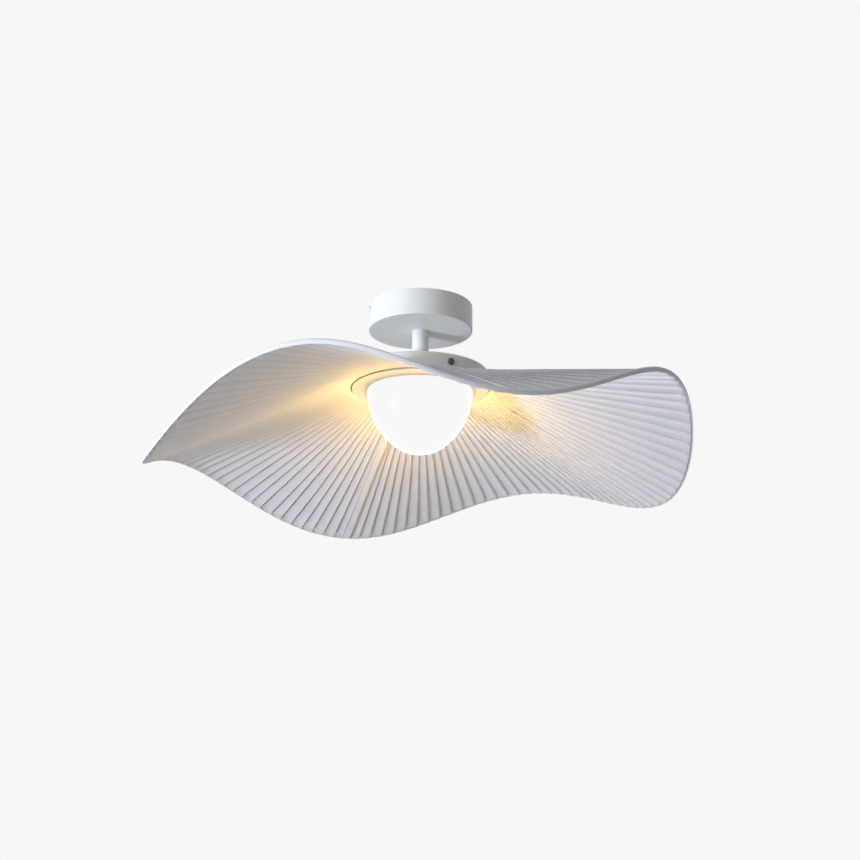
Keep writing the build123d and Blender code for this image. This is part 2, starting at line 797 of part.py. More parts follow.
def make_block_screw():
    """Screw that holds the terminal block under the plate."""
    screw = pan_head_screw(m3_radius, m3_head_radius, m3_head_height, block_height + plate_thickness)
    return Pos(block_screw_x(), block_offset, -plate_thickness - block_height) * Rot(180, 0, 0) * screw


def make_earth_screw():
    """Screw on the plate with its earth lug."""
    length = earth_lug_thickness + plate_thickness
    screw = pan_head_screw(m4_radius, m4_head_radius, m4_head_height, length)
    return Pos(0, earth_screw_offset, -length) * Rot(180, 0, 0) * screw


def make_earth_lug():
    """Ring lug under the earth screw, with the barrel that grips the wire."""
    y = earth_screw_offset
    top_z = -plate_thickness
    barrel_z = top_z - earth_barrel_drop
    ring = rod(earth_lug_radius, top_z, top_z - earth_lug_thickness, y=y)
    hung = (Align.CENTER, Align.CENTER, Align.MAX)
    neck = Box(earth_neck_length, earth_neck_length, earth_lug_thickness, align=hung)
    neck = Pos(earth_neck_offset, y, top_z) * neck
    barrel = Rot(0, 90, 0) * Cylinder(earth_barrel_radius, earth_barrel_length)
    bore = Rot(0, 90, 0) * Cylinder(wire_radius + earth_barrel_fit, earth_barrel_length)
    lug = ring + neck + Pos(earth_barrel_offset, y, barrel_z) * barrel
    lug -= rod(m4_radius + screw_hole_fit, top_z + overrun, barrel_z - overrun, y=y)
    lug -= Pos(earth_barrel_offset - overrun, y, barrel_z) * bore
    return lug


def wire_start(index):
    """First two points of a wire: inside its terminal, and straight out of the block."""
    x = pole_x(index)
    y = block_face_y()
    return [(x, y + wire_block_insertion, pole_z()), (x, y - wire_block_run, pole_z())]


def make_live_wire():
    """Live wire from the terminal block through the tube to the centre contact."""
    x = -wire_spacing / 2
    points = wire_start(0) + [(x, 0, pole_z() - wire_stem_drop), (x, 0, post_top_z())]
    return wire_along(points, [wire_bend_radius, wire_bend_radius])


def make_neutral_wire():
    """Neutral wire from the terminal block through the tube to the screw shell's lug."""
    x = wire_spacing / 2
    end_z = tube_bottom_z - wire_end_bend_radius
    points = wire_start(1) + [
        (x, 0, pole_z() - wire_stem_drop),
        (x, 0, end_z),
        (shell_inner_radius, 0, end_z),
    ]
    return wire_along(points, [wire_bend_radius, wire_bend_radius, wire_end_bend_radius])


def make_earth_wire():
    """Earth wire from the terminal block round the middle to the lug."""
    end_z = -plate_thickness - earth_barrel_drop
    points = wire_start(2) + [
        (pole_x(2), earth_wire_turn_y, pole_z() - earth_wire_turn_drop),
        (earth_barrel_offset - earth_wire_end_run, earth_screw_offset, end_z),
        (earth_barrel_offset, earth_screw_offset, end_z),
    ]
    return wire_along(points, [wire_bend_radius, earth_wire_wide_bend, wire_end_bend_radius])


# Assembly

def build_parts():
    """Every piece of the light by node name."""
    parts = {
        "mounting_plate": make_mounting_plate(),
        "canopy": make_canopy(),
        "canopy_screws": make_canopy_screws(),
        "threaded_tube": make_threaded_tube(),
        "upper_washer": make_washer(canopy_floor_z + m10_washer_thickness),
        "upper_nut": make_hex_nut(canopy_floor_z + m10_washer_thickness + m10_nut_height),
        "stem": make_stem(),
        "drum": make_drum(),
        "lower_washer": make_washer(drum_ceiling_z),
        "lower_nut": make_hex_nut(drum_ceiling_z - m10_washer_thickness),
        "drum_screws": make_drum_screws(),
        "tray": make_tray(),
        "tray_ring": make_tray_ring(),
        "glass_collar": make_glass_collar(),
        "tray_nuts": make_tray_nuts(),
        "hub_strip": make_hub_strip(),
        "spokes": make_spokes(),
        "rim_wire": make_rim_wire(),
        "rim_binding": make_rim_binding(),
        "seam_strip": make_seam_strip(),
        "gasket": make_gasket(),
        "glass": make_glass(),
        "glass_ring": make_glass_ring(),
        "lampholder_cap": make_holder_cap(),
        "lampholder_body": make_holder_body(),
        "screw_shell": make_screw_shell(),
        "centre_contact": make_centre_contact(),
        "bulb_cap": make_bulb_cap(),
        "bulb_globe": make_bulb_globe(),
        "terminal_block": make_terminal_block(),
        "terminal_screws": make_terminal_screws(),
        "block_screw": make_block_screw(),
        "earth_screw": make_earth_screw(),
        "earth_lug": make_earth_lug(),
        "live_wire": make_live_wire(),
        "neutral_wire": make_neutral_wire(),
        "earth_wire": make_earth_wire(),
    }
    ends = spoke_angles[1:] + [spoke_angles[0] + 360]
    for number, (start, end) in enumerate(zip(spoke_angles, ends), start=1):
        parts[f"fabric_panel_{number}"] = make_fabric_panel(start, end)
    return parts


def as_shape(piece):
    """One solid as it is, or several solids as one group."""
    if isinstance(piece, list):
        solids = [solid for item in piece for solid in item.solids()]
        return Compound(children=solids)
    return piece


os.makedirs("parts", exist_ok=True)
for name, piece in build_parts().items():
    export_step(as_shape(piece), f"parts/{name}.step")
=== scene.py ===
# Looks of the wavy pleated ceiling light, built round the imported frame.
# Metres in the frame's own axes: the origin is the centre of the ceiling plane, +Z is up, and the photograph
# was taken from the -Y side. Plan angles are in degrees from +X, turning towards +Y.
import json
import math
import bpy
import numpy as np
from mathutils import Matrix, Vector


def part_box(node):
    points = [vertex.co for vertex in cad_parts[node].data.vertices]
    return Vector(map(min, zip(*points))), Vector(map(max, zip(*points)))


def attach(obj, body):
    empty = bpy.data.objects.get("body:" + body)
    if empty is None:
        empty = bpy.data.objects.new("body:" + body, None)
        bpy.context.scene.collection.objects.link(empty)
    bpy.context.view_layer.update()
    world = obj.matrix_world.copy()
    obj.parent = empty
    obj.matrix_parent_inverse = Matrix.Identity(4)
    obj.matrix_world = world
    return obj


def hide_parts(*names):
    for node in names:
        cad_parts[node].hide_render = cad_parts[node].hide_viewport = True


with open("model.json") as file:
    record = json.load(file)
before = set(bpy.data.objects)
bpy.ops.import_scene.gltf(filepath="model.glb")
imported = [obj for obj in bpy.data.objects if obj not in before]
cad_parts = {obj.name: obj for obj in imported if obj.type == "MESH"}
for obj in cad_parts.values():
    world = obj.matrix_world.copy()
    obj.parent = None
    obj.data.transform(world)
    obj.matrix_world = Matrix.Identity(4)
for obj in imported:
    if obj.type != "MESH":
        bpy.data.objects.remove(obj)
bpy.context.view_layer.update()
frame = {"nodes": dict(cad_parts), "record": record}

mm = 0.001

# Camera, as solved from the photograph
camera_place = (0, -1.2392, -0.4935)
camera_pitch = 15.62          # degrees up
camera_yaw = 0.535            # degrees towards +X
camera_roll = 0.303           # degrees
focal_share = 1143.1 / 860    # focal length as a share of the picture's width
sensor_width = 36

# Shade, as in the CAD model
rim_turns = [
    (16, -210 * mm),
    (62, -159 * mm),
    (109.5, -217.5 * mm),
    (159, -162 * mm),
    (202, -206 * mm),
    (249, -144 * mm),
    (286, -191 * mm),
    (328, -132 * mm),
]
spoke_angles = [17, 109.5, 218, 286]
seam_angle = spoke_angles[1]
hub_radius = 77.3 * mm
hub_mid_z = -96.3 * mm
rim_radius = 297.5 * mm

# Pleated cloth
cloth_inner_radius = 77.6 * mm
cloth_outer_radius = 297.8 * mm
cloth_thickness = 0.35 * mm
pleat_pitch = 3.05            # degrees
pleat_rise_share = 0.84       # part of a pleat's pitch taken by its broad face
pleat_depth_share = 0.17      # depth of the pleats as a share of their pitch
pleat_width = 17 * mm         # cloth taken up by one pleat, tuck and all
tuck_shortest = 0.1 * mm
tuck_limit = 3.2 * mm         # longest tuck, near the hub
tuck_end_loss = 0.9           # share of a tuck's length lost under the rim wire
tuck_half_width = 0.2 * mm    # from the middle of a tuck to the middle of its layers
tuck_lean = -55               # degrees from upright, back over the pleat's broad face
end_pleat_depth = 1.3 * mm    # where the cloth ends under the rim wire
end_start_radius = 290 * mm   # the cloth dips from here to pass under the wire
end_dip = 1 * mm              # how far it dips
rim_drop = 1.4 * mm           # the cloth's middle aims this far below the wire's centre
end_flat_radius = 295.6 * mm  # the dip is complete from here out
hub_dip = 2.2 * mm            # the cloth comes down to the tray's edge
hub_dip_length = 24 * mm
broad_steps = 26              # rows of the mesh from the hub to the dip
end_steps = 8                 # and from there to the edge
pleat_wander = 0.03           # spread of the folds' places, in pitches
pleat_wander_turns = (3.1, 4.7)  # radians that the wander turns through along a fold
pleat_seed = 11
spoke_fold_half_width = 1.5 * mm
spoke_fold_places = (-0.5, 0, 0.5, 1)  # rows of the flat fold, in half widths from the spoke
spoke_fold_shade = 0.5
spoke_dip = 1.8 * mm          # the cloth passes under the spokes
spoke_reach_after = 0.3       # part of the next pleat that the dip under a spoke reaches
spoke_reach_before = 0.1      # part of the last pleat before it

# Painted shading across a pleat, as shares of the cloth's own tone: painted shade in the creases and on the
# faces, painted highlight on the lower folds, which sharpen the folds' own shading
pleat_crease_painted_shade = 0.68
pleat_face_painted_shade = 0.94
pleat_face_place = 0.4        # where the face's tone stands between the crease at 0 and the edge at 1
pleat_edge_painted_highlight = 1.08

# Rim binding
binding_outer_radius = 2.2 * mm
binding_thickness = 0.55 * mm
binding_lip_drop = 3.3 * mm   # from the wire's centre down to the lip
binding_lip_radius = 0.6 * mm
binding_leg_end = 5.4 * mm    # from the wire's centre in to the end of the upper leg
binding_leg_bend = 0.7        # where the leg bends, as a share of the way to its end
binding_leg_top = 1.15 * mm   # top of the bend above the wire's centre
binding_leg_drop = 0.4 * mm   # the leg's end below the wire's centre
binding_over_start = 110      # degrees from outwards to where the leg meets the round over the wire
binding_end_gap = 0.3 * mm    # from each end to the seam
binding_step = 0.75           # degrees
binding_ripple = 0.12 * mm    # the pleats' ends pressing through
binding_ripple_least = 0.3    # share of the ripple left outside the wire
binding_unevenness = 0.08 * mm
binding_uneven_places = 190
binding_seed = 5
stitch_length = 2.6 * mm
stitch_pitch = 4 * mm
stitch_radius = 0.18 * mm
stitch_inset = 4.4 * mm
stitch_rise = 0.33 * mm       # from the leg's upper face to the thread's middle
thread_bow = 0.1 * mm         # how far a stitch's ends lie below its middle
thread_end_share = 0.06       # squared share of a thread's thickness left at its ends

# Thread tacks that hold the cloth to the spokes
tack_start = 137 * mm
tack_end = 212 * mm
tack_pitch = 7.5 * mm
tack_length = 2.4 * mm
tack_radius = 0.25 * mm
tack_sag = 0.1 * mm           # the thread's middle below the cloth
tack_end_rise = 0.12 * mm     # its ends turn up into the cloth

# Seam strip under the spoke at the seam
strip_hub_gap = 1.5 * mm      # from the hub strip to its start
strip_rim_gap = 0.5 * mm      # from its end to the wire's centre
strip_hub_width = 8.5 * mm
strip_rim_width = 12.5 * mm
strip_thickness = 0.9 * mm
strip_drop = 0.7 * mm         # from the lowest folds to the strip's middle
strip_curl = 1.2 * mm         # how far its edge at the larger plan angle curls down
strip_curl_start = 0.3        # where the curl starts, in widths from its middle
strip_curl_loss = 0.7         # share of the curl lost under the rim wire
strip_sag = 0.25 * mm         # slight waves between its edges
strip_sag_turn = 9            # radians that the waves turn through along it
strip_sag_edge = 0.45         # no waves beyond this many widths from its middle
strip_steps = 60
strip_rows = 11

# Background, lamps and floor
background = 0.93             # grey of the surroundings as they are seen
world_light = 0.225           # their strength as a light
lamp_target = (0, 0, -0.15)
lamp_distance = 2
key_azimuth = 208
key_elevation = -17
key_size = 0.35
key_power = 31
key_colour = (0.9, 0.97, 1.15)
side_azimuth = 229
side_elevation = 12
side_size = 0.7
side_power = 12
side_colour = (1, 1, 1)
fill_place = (0.5, 0.9, -2.1)
fill_size = 2.2
fill_power = 9
fill_colour = (1, 0.98, 0.95)
top_place = (0.6, 0.2, 1.6)
top_size = 2.0
top_power = 5.5
top_colour = (0.84, 0.93, 1.18)
floor_z = -2.4
floor_half_width = 12
floor_plain_share = 0.92      # how far the floor is seen as plain background instead of lit paint

# Lit glass
glass_shown = (0.925, 0.925, 0.92)
glass_light = (1.0, 0.58, 0.06)
glass_strength = 18
glass_low_share = 0.9         # part of the strength that the glass casts below its shoulder
glass_shoulder_share = 0.09   # and at its shoulder
glass_shoulder_light = (0.95, 0.72, 0.33)
bulb_strength = 2


# Mesh helpers

def ring(angle):
    """Unit vectors outwards at plan angles in degrees."""
    turn = np.radians(angle)
    return np.stack([np.cos(turn), np.sin(turn)], -1)


def mesh_object(name, points, faces, uvs=None, folds=None):
    """A smooth shaded object from points and faces.

    A cloth also has UVs in metres of cloth, and the pleated one has painted shading at each point: painted
    shade in the creases and painted highlight on the lower folds."""
    mesh = bpy.data.meshes.new(name)
    mesh.from_pydata(points.reshape(-1, 3).tolist(), [], [tuple(face) for face in faces])
    mesh.polygons.foreach_set("use_smooth", np.ones(len(mesh.polygons), bool))
    if uvs is not None:
        corners = np.zeros(len(mesh.loops), np.int32)
        mesh.loops.foreach_get("vertex_index", corners)
        for name_of_map, values in (("cloth", uvs), ("fold", folds)):
            if values is not None:
                layer = mesh.uv_layers.new(name=name_of_map)
                layer.data.foreach_set("uv", values.reshape(-1, 2)[corners].astype(np.float32).ravel())
    mesh.validate()
    mesh.update()
    made = bpy.data.objects.new(name, mesh)
    bpy.context.scene.collection.objects.link(made)
    return made


def grid_faces(rows, columns, close_rows=False, close_columns=False):
    """Faces of a grid of points, as index quads."""
    row = np.arange(rows if close_rows else rows - 1)
    column = np.arange(columns if close_columns else columns - 1)
    r, c = np.meshgrid(row, column, indexing="ij")
    here = r * columns
    beyond = (r + 1) % rows * columns
    c_next = (c + 1) % columns
    quads = np.stack([here + c, here + c_next, beyond + c_next, beyond + c], -1)
    return quads.reshape(-1, 4)


def grid_normals(points, close_rows=False):
    """Unit normals of a grid of points [rows, columns, 3]."""
    if close_rows:
        along_rows = np.roll(points, -1, 0) - np.roll(points, 1, 0)
    else:
        along_rows = np.gradient(points, axis=0)
    along_columns = np.gradient(points, axis=1)
    normals = np.cross(along_rows, along_columns)
    return normals / np.maximum(np.linalg.norm(normals, axis=-1, keepdims=True), 1e-12)


def sheet_object(name, points, uvs, thickness, close_rows=False, folds=None):
    """A thin closed shell round a grid of middle points [rows, columns, 3]."""
    rows, columns = points.shape[:2]
    offset = grid_normals(points, close_rows) * thickness / 2
    both = np.stack([points + offset, points - offset])
    size = rows * columns
    upper = grid_faces(rows, columns, close_rows)
    lower = upper[:, ::-1] + size
    edges = []
    first = np.arange(rows if close_rows else rows - 1)
    following = (first + 1) % rows
    for column, flip in ((0, False), (columns - 1, True)):
        a, b = first * columns + column, following * columns + column
        quad = np.stack([a, b, b + size, a + size], -1)
        edges.append(quad[:, ::-1] if flip else quad)
    if not close_rows:
        last = (rows - 1) * columns
        c = np.arange(columns - 1)
        for start, flip in ((0, True), (last, False)):
            quad = np.stack([start + c, start + c + 1, start + c + 1 + size, start + c + size], -1)
            edges.append(quad[:, ::-1] if flip else quad)
    faces = np.concatenate([upper, lower, *edges])
    doubled = None if folds is None else np.stack([folds, folds])
    return mesh_object(name, both, faces, np.stack([uvs, uvs]), doubled)


# Shape of the shade

def rim_height(angle):
    """Height of the rim wire: half a cosine wave from each turning point to the next."""
    turns = np.array([turn for turn, height in rim_turns] + [rim_turns[0][0] + 360.0])
    heights = np.array([height for turn, height in rim_turns] + [rim_turns[0][1]])
    turned = (np.asarray(angle, float) - turns[0]) % 360 + turns[0]
    index = np.clip(np.searchsorted(turns, turned, side="right") - 1, 0, len(rim_turns) - 1)
    share = (turned - turns[index]) / (turns[index + 1] - turns[index])
    return heights[index] + (heights[index + 1] - heights[index]) * (1 - np.cos(np.pi * share)) / 2


def out_share(radius):
    """How far out a radius lies: 0 at the hub, 1 at the rim wire."""
    return (radius - hub_radius) / (rim_radius - hub_radius)


def straight_height(radius, angle):
    """Height on the straight line from the hub to just under the middle of the rim wire."""
    return hub_mid_z + (rim_height(angle) - rim_drop - hub_mid_z) * out_share(radius)


def smooth(value):
    """Eases a value from 0 to 1 in and out, and holds it there."""
    share = np.clip(value, 0, 1)
    return share * share * (3 - 2 * share)


def hub_share(radius):
    """How far the cloth has come down to the tray's edge: 1 at the hub, 0 farther out."""
    return 1 - smooth((radius - hub_radius) / hub_dip_length)


def end_share(radius):
    """How far the cloth has dipped to pass under the rim wire: 0 before, 1 under it."""
    return smooth((radius - end_start_radius) / (end_flat_radius - end_start_radius))


def cloth_height(radius, angle):
    """Height of the cloth's middle: down to the tray's edge, straight to the rim, then under the wire."""
    return straight_height(radius, angle) - hub_dip * hub_share(radius) - end_dip * end_share(radius)


def pleat_depth(radius):
    """Height between the lower and upper folds of a pleat."""
    broad = pleat_depth_share * radius * math.radians(pleat_pitch)
    return broad + (end_pleat_depth - broad) * end_share(radius)


def tuck_length(radius):
    """Length of the tuck that takes up the cloth a pleat doesn't show."""
    pitch = radius * math.radians(pleat_pitch)
    depth = pleat_depth(radius)
    shown = np.hypot(pleat_rise_share * pitch, depth) + np.hypot((1 - pleat_rise_share) * pitch, depth)
    spare = np.clip((pleat_width - shown) / 2, tuck_shortest, tuck_limit)
    return spare * (1 - tuck_end_loss * end_share(radius))


# Points across one pleat: share of its pitch, side of the tuck, lift from -1 on the lower fold to 1 on the
# upper one, share of the tuck's length, and painted shading, from 0 (painted shade) in the crease to 1
# (painted highlight) on the lower fold
pleat_points = [
    (0.03, 0, -0.97, 0, 1),
    (0.12, 0, -0.78, 0, 0.65),
    (0.4, 0, -0.1, 0, 0.42),
    (0.72, 0, 0.66, 0, 0.22),
    (pleat_rise_share, -1, 0.98, 0, 0.05),
    (pleat_rise_share, -1, 1, 1, 0.7),
    (pleat_rise_share, 1, 1, 1, 0.9),
    (pleat_rise_share, 1, 0.98, 0, 0.7),
    (0.92, 0, 0, 0, 1),
    (0.97, 0, -0.85, 0, 1),
    (1, 0, -1, 0, 1),
]


def row_points(radius, angle, rise):
    """One radial row of points at a plan angle for each radius, raised off the cloth's middle."""
    flat = ring(angle) * radius[:, None]
    return np.concatenate([flat, (cloth_height(radius, angle) + rise)[:, None]], 1)


def pleat_row(radius, angle, point):
    """One row of a pleat: its fold or face at a plan angle, with the tuck leaning over."""
    side, lift, tucked = point[1:4]
    lean = math.radians(tuck_lean)
    length = tuck_length(radius) * tucked
    across = side * tuck_half_width * math.cos(lean) + length * math.sin(lean)
    up = length * math.cos(lean) - side * tuck_half_width * math.sin(lean) * tucked
    turned = angle + np.degrees(across / radius)
    return row_points(radius, turned, lift * pleat_depth(radius) / 2 + up)


def below_spoke(radius):
    """Lift off the cloth's own middle that takes it under a spoke.

    The spoke runs straight from the hub to the rim wire's centre."""
    sunk = rim_drop * out_share(radius) + hub_dip * hub_share(radius) + end_dip * end_share(radius)
    return sunk - spoke_dip


def spoke_fold_lift(radius):
    """Lift of the flat fold under a spoke: below the spoke and the lower folds beside it."""
    return np.minimum(below_spoke(radius), -pleat_depth(radius) / 2)


def spoke_weight(place, first, last):
    """How much of the dip under a spoke reaches a place in the first or last pleat beside it."""
    after = max(1 - place / spoke_reach_after, 0) if first else 0
    before = max((place - 1 + spoke_reach_before) / spoke_reach_before, 0) if last else 0
    return max(after, before)


def sector_rows(start, end, rng, radius):
    """Grid rows of the pleats between two spokes."""
    count = round((end - start) / pleat_pitch)
    margin = np.degrees(spoke_fold_half_width / radius)
    wander = rng.normal(0, pleat_wander, (count + 1, 3))
    wander[0] = 0
    wander[-1] = 0
    slow, fast = pleat_wander_turns
    along = (radius - radius[0]) / (radius[-1] - radius[0])
    spoke_drop = np.maximum(-below_spoke(radius) - pleat_depth(radius) / 2, 0)
    rows = []
    for pleat in range(count):
        for point in pleat_points:
            place = point[0]
            drift = wander[pleat] * (1 - place) + wander[pleat + 1] * place
            shift = drift[0] + drift[1] * np.sin(slow * along) + drift[2] * np.cos(fast * along)
            angle = start + margin + (end - start - 2 * margin) * (pleat + place + shift) / count
            row = pleat_row(radius, angle, point)
            row[:, 2] -= spoke_drop * spoke_weight(place, pleat == 0, pleat == count - 1)
            rows.append(row)
    return rows


def spoke_rows(angle, radius):
    """Grid rows of the flat fold under a spoke."""
    lift = spoke_fold_lift(radius)
    rows = []
    for side in spoke_fold_places:
        turned = angle + np.degrees(side * spoke_fold_half_width / radius)
        rows.append(row_points(radius, turned, lift))
    return rows


def make_cloth():
    """The whole pleated cloth: four runs of pleats with a flat fold under each spoke."""
    rng = np.random.default_rng(pleat_seed)
    broad = np.linspace(cloth_inner_radius, end_start_radius, broad_steps)
    end = np.linspace(end_start_radius, cloth_outer_radius, end_steps + 1)
    radius = np.concatenate([broad, end[1:]])
    rows = []
    shades = []
    ends = spoke_angles[1:] + [spoke_angles[0] + 360]
    for start, stop in zip(spoke_angles, ends):
        rows += sector_rows(start, stop, rng, radius)
        rows += spoke_rows(stop, radius)
        shades += [point[4] for point in pleat_points] * round((stop - start) / pleat_pitch)
        shades += [spoke_fold_shade] * len(spoke_fold_places)
    points = np.array(rows)
    across = np.linalg.norm(np.diff(points, axis=0, append=points[:1]), axis=-1)
    width = np.cumsum(across.mean(1)) - across.mean(1)[0]
    length = np.linalg.norm(np.diff(points, axis=1, prepend=points[:, :1]), axis=-1).cumsum(1)
    uvs = np.stack([np.repeat(width[:, None], len(radius), 1), length], -1)
    folds = np.zeros(points.shape[:2] + (2,))
    folds[..., 0] = np.array(shades)[:, None]
    cloth = sheet_object("shade_cloth", points, uvs, cloth_thickness, close_rows=True, folds=folds)
    flat_area = float((across[:, :-1] * np.diff(length, axis=1)).sum())
    return cloth, (float(across.sum(0).max()), float(length.max())), flat_area


# Binding, stitches and seam strip

def binding_outline():
    """Outline of the binding across the rim, out and up from the wire's centre: a hook over the wire."""
    outer = binding_outer_radius
    inner = outer - binding_thickness
    over = np.linspace(binding_over_start, 0, 9)
    lip_centre = (outer - binding_lip_radius, binding_lip_radius - binding_lip_drop)
    bend = -binding_leg_end * binding_leg_bend
    upper_leg = [(-binding_leg_end, -binding_leg_drop + binding_thickness), (bend, binding_leg_top)]
    lower_leg = [(bend, binding_leg_top - binding_thickness), (-binding_leg_end, -binding_leg_drop)]
    outside = outer * ring(over)
    lip = lip_centre + binding_lip_radius * ring(np.linspace(0, -180, 7))
    inside = inner * ring(over[::-1])
    return np.concatenate([upper_leg, outside, lip, inside, lower_leg])


def make_binding():
    """Cloth tape folded over the rim wire, with the pleats' ends pressing through it."""
    gap = math.degrees(binding_end_gap / rim_radius)
    angles = np.linspace(seam_angle + gap, seam_angle + 360 - gap, round(360 / binding_step) + 1)
    outline = binding_outline()
    rng = np.random.default_rng(binding_seed)
    places = np.linspace(angles[0], angles[-1], binding_uneven_places)
    bumps = np.interp(angles, places, rng.normal(0, 1, binding_uneven_places))
    ripple = binding_ripple * np.sin(np.radians(angles) * 360 / pleat_pitch) + binding_unevenness * bumps
    points = np.zeros((len(angles), len(outline), 3))
    for index, (out, up) in enumerate(outline):
        points[:, index, :2] = ring(angles) * (rim_radius + out)
        felt = np.clip(-out / binding_leg_end, binding_ripple_least, 1)
        points[:, index, 2] = rim_height(angles) + up + ripple * felt
    tilt_heights(points, angles)
    around = np.linalg.norm(np.diff(outline, axis=0, prepend=outline[:1]), axis=1).cumsum()
    uvs = np.zeros(points.shape[:2] + (2,))
    uvs[..., 0] = (np.radians(angles) * rim_radius)[:, None]
    uvs[..., 1] = around
    count, sides = points.shape[:2]
    walls = grid_faces(count, sides, close_columns=True)
    caps = [list(range(sides)), list(range((count - 1) * sides, count * sides))[::-1]]
    faces = [tuple(face) for face in walls[:, ::-1]] + [tuple(cap) for cap in caps]
    return mesh_object("rim_binding_cloth", points, faces, uvs)


def slope_in(angles):
    """Rise of the cloth per metre of radius at plan angles."""
    return (rim_height(angles) - hub_mid_z) / (rim_radius - hub_radius)


def tilt_heights(points, angles):
    """Leans a ring of points on the rim with the slope of the cloth that enters it."""
    reach = np.linalg.norm(points[..., :2], axis=-1) - rim_radius
    points[..., 2] += np.minimum(reach, 0) * slope_in(angles)[:, None]


def thread_run(centre, out, radius):
    """A short fat thread along a row of centres: its points and its faces from zero."""
    sides = 6
    along = np.linspace(-1, 1, len(centre))
    across = np.linspace(0, 2 * math.pi, sides, endpoint=False)
    thick = radius * np.sqrt(np.maximum(1 - along ** 4, thread_end_share))
    level = np.cos(across)[None, :, None] * out[:, None]
    upright = np.sin(across)[None, :, None] * np.array([0, 0, 1.0])
    points = centre[:, None] + thick[:, None, None] * (level + upright)
    return points.reshape(-1, 3), grid_faces(len(centre), sides, close_columns=True)


def join_runs(name, runs):
    """One object from many short threads."""
    points, faces, start = [], [], 0
    for run_points, run_faces in runs:
        points.append(run_points)
        faces.append(run_faces + start)
        start += len(run_points)
    return mesh_object(name, np.concatenate(points), np.concatenate(faces))


def make_stitches():
    """Short thread stitches along the binding's upper leg."""
    count = int(2 * math.pi * rim_radius / stitch_pitch)
    along = np.linspace(-1, 1, 4)
    leg_rise = binding_thickness + stitch_rise
    runs = []
    for index in range(count):
        middle = seam_angle + (index + 0.5) * 360 / count
        turn = middle + np.degrees(along * stitch_length / 2 / rim_radius)
        height = rim_height(turn) - stitch_inset * slope_in(turn) + leg_rise - thread_bow * along ** 2
        centre = np.concatenate([ring(turn) * (rim_radius - stitch_inset), height[:, None]], 1)
        runs.append(thread_run(centre, np.concatenate([ring(turn), np.zeros((4, 1))], 1), stitch_radius))
    return join_runs("rim_stitches", runs)


def make_tacks():
    """Thread tacks on the underside, where the cloth is caught to the spokes that have no strip."""
    along = np.linspace(-1, 1, 4)
    runs = []
    for angle in spoke_angles:
        if angle == seam_angle:
            continue
        side = np.array([-math.sin(math.radians(angle)), math.cos(math.radians(angle)), 0])
        for middle in np.arange(tack_start, tack_end, tack_pitch):
            radius = middle + along * tack_length / 2
            under = cloth_height(radius, angle) + spoke_fold_lift(radius) - cloth_thickness / 2
            height = under - tack_sag + tack_end_rise * along ** 2
            centre = np.concatenate([ring(angle) * radius[:, None], height[:, None]], 1)
            runs.append(thread_run(centre, np.repeat(side[None], 4, 0), tack_radius))
    return join_runs("spoke_tacks", runs)


def make_seam_strip():
    """The strip that covers the cloth's seam under the rear spoke, one edge curling a little proud."""
    radius = np.linspace(hub_radius + strip_hub_gap, rim_radius - strip_rim_gap, strip_steps)
    share = np.linspace(0, 1, strip_steps)
    wide = strip_hub_width + (strip_rim_width - strip_hub_width) * share
    lowest = -spoke_fold_lift(radius)
    curl_left = 1 - strip_curl_loss * end_share(radius)
    places = np.linspace(-0.5, 0.5, strip_rows)
    points = []
    for place in places:
        angle = seam_angle + np.degrees(place * wide / radius)
        curl_share = max((place - strip_curl_start) / (0.5 - strip_curl_start), 0)
        curl = strip_curl * curl_share ** 2 * curl_left
        sag = strip_sag * np.sin(share * strip_sag_turn + place * 2) * (abs(place) < strip_sag_edge)
        drop = lowest + strip_drop + curl - sag
        points.append(row_points(radius, angle, -drop))
    points = np.array(points)
    uvs = np.zeros(points.shape[:2] + (2,))
    uvs[..., 0] = places[:, None] * wide
    uvs[..., 1] = radius[None, :]
    return sheet_object("seam_strip_cloth", points, uvs, strip_thickness)


# Materials

def new_material(name):
    """An empty node material with its output, as (material, nodes, links, output)."""
    made = bpy.data.materials.new(name)
    made.use_nodes = True
    nodes, links = made.node_tree.nodes, made.node_tree.links
    nodes.clear()
    return made, nodes, links, nodes.new("ShaderNodeOutputMaterial")


def add_node(nodes, kind, **values):
    """A node with its properties and sockets set by name."""
    made = nodes.new(kind)
    for key, value in values.items():
        if key in made.inputs.keys():
            made.inputs[key].default_value = value
        else:
            setattr(made, key, value)
    return made


def shader(nodes, colour, roughness, **values):
    """A Principled shader with the values that stay the same all over."""
    made = nodes.new("ShaderNodeBsdfPrincipled")
    made.inputs["Base Color"].default_value = (*colour, 1)
    made.inputs["Roughness"].default_value = roughness
    for key, value in values.items():
        made.inputs[key.replace("_", " ")].default_value = value
    return made


def noise(nodes, links, scale, detail):
    """Noise in the object's own coordinates, in metres."""
    where = nodes.new("ShaderNodeTexCoord")
    made = nodes.new("ShaderNodeTexNoise")
    made.inputs["Scale"].default_value = scale
    made.inputs["Detail"].default_value = detail
    links.new(where.outputs["Object"], made.inputs["Vector"])
    return made.outputs["Fac"]


def ramp(nodes, links, source, low, high, start=0.3, end=0.7):
    """A colour that goes from low to high with a value."""
    made = nodes.new("ShaderNodeValToRGB")
    made.color_ramp.elements[0].position = start
    made.color_ramp.elements[1].position = end
    made.color_ramp.elements[0].color = (*low, 1)
    made.color_ramp.elements[1].color = (*high, 1)
    links.new(source, made.inputs["Fac"])
    return made.outputs["Color"]


def spread(nodes, links, source, low, high):
    """A number between low and high from a value of 0.3 to 0.7."""
    made = nodes.new("ShaderNodeMapRange")
    made.inputs["From Min"].default_value = 0.3
    made.inputs["From Max"].default_value = 0.7
    made.inputs["To Min"].default_value = low
    made.inputs["To Max"].default_value = high
    links.new(source, made.inputs["Value"])
    return made.outputs["Result"]


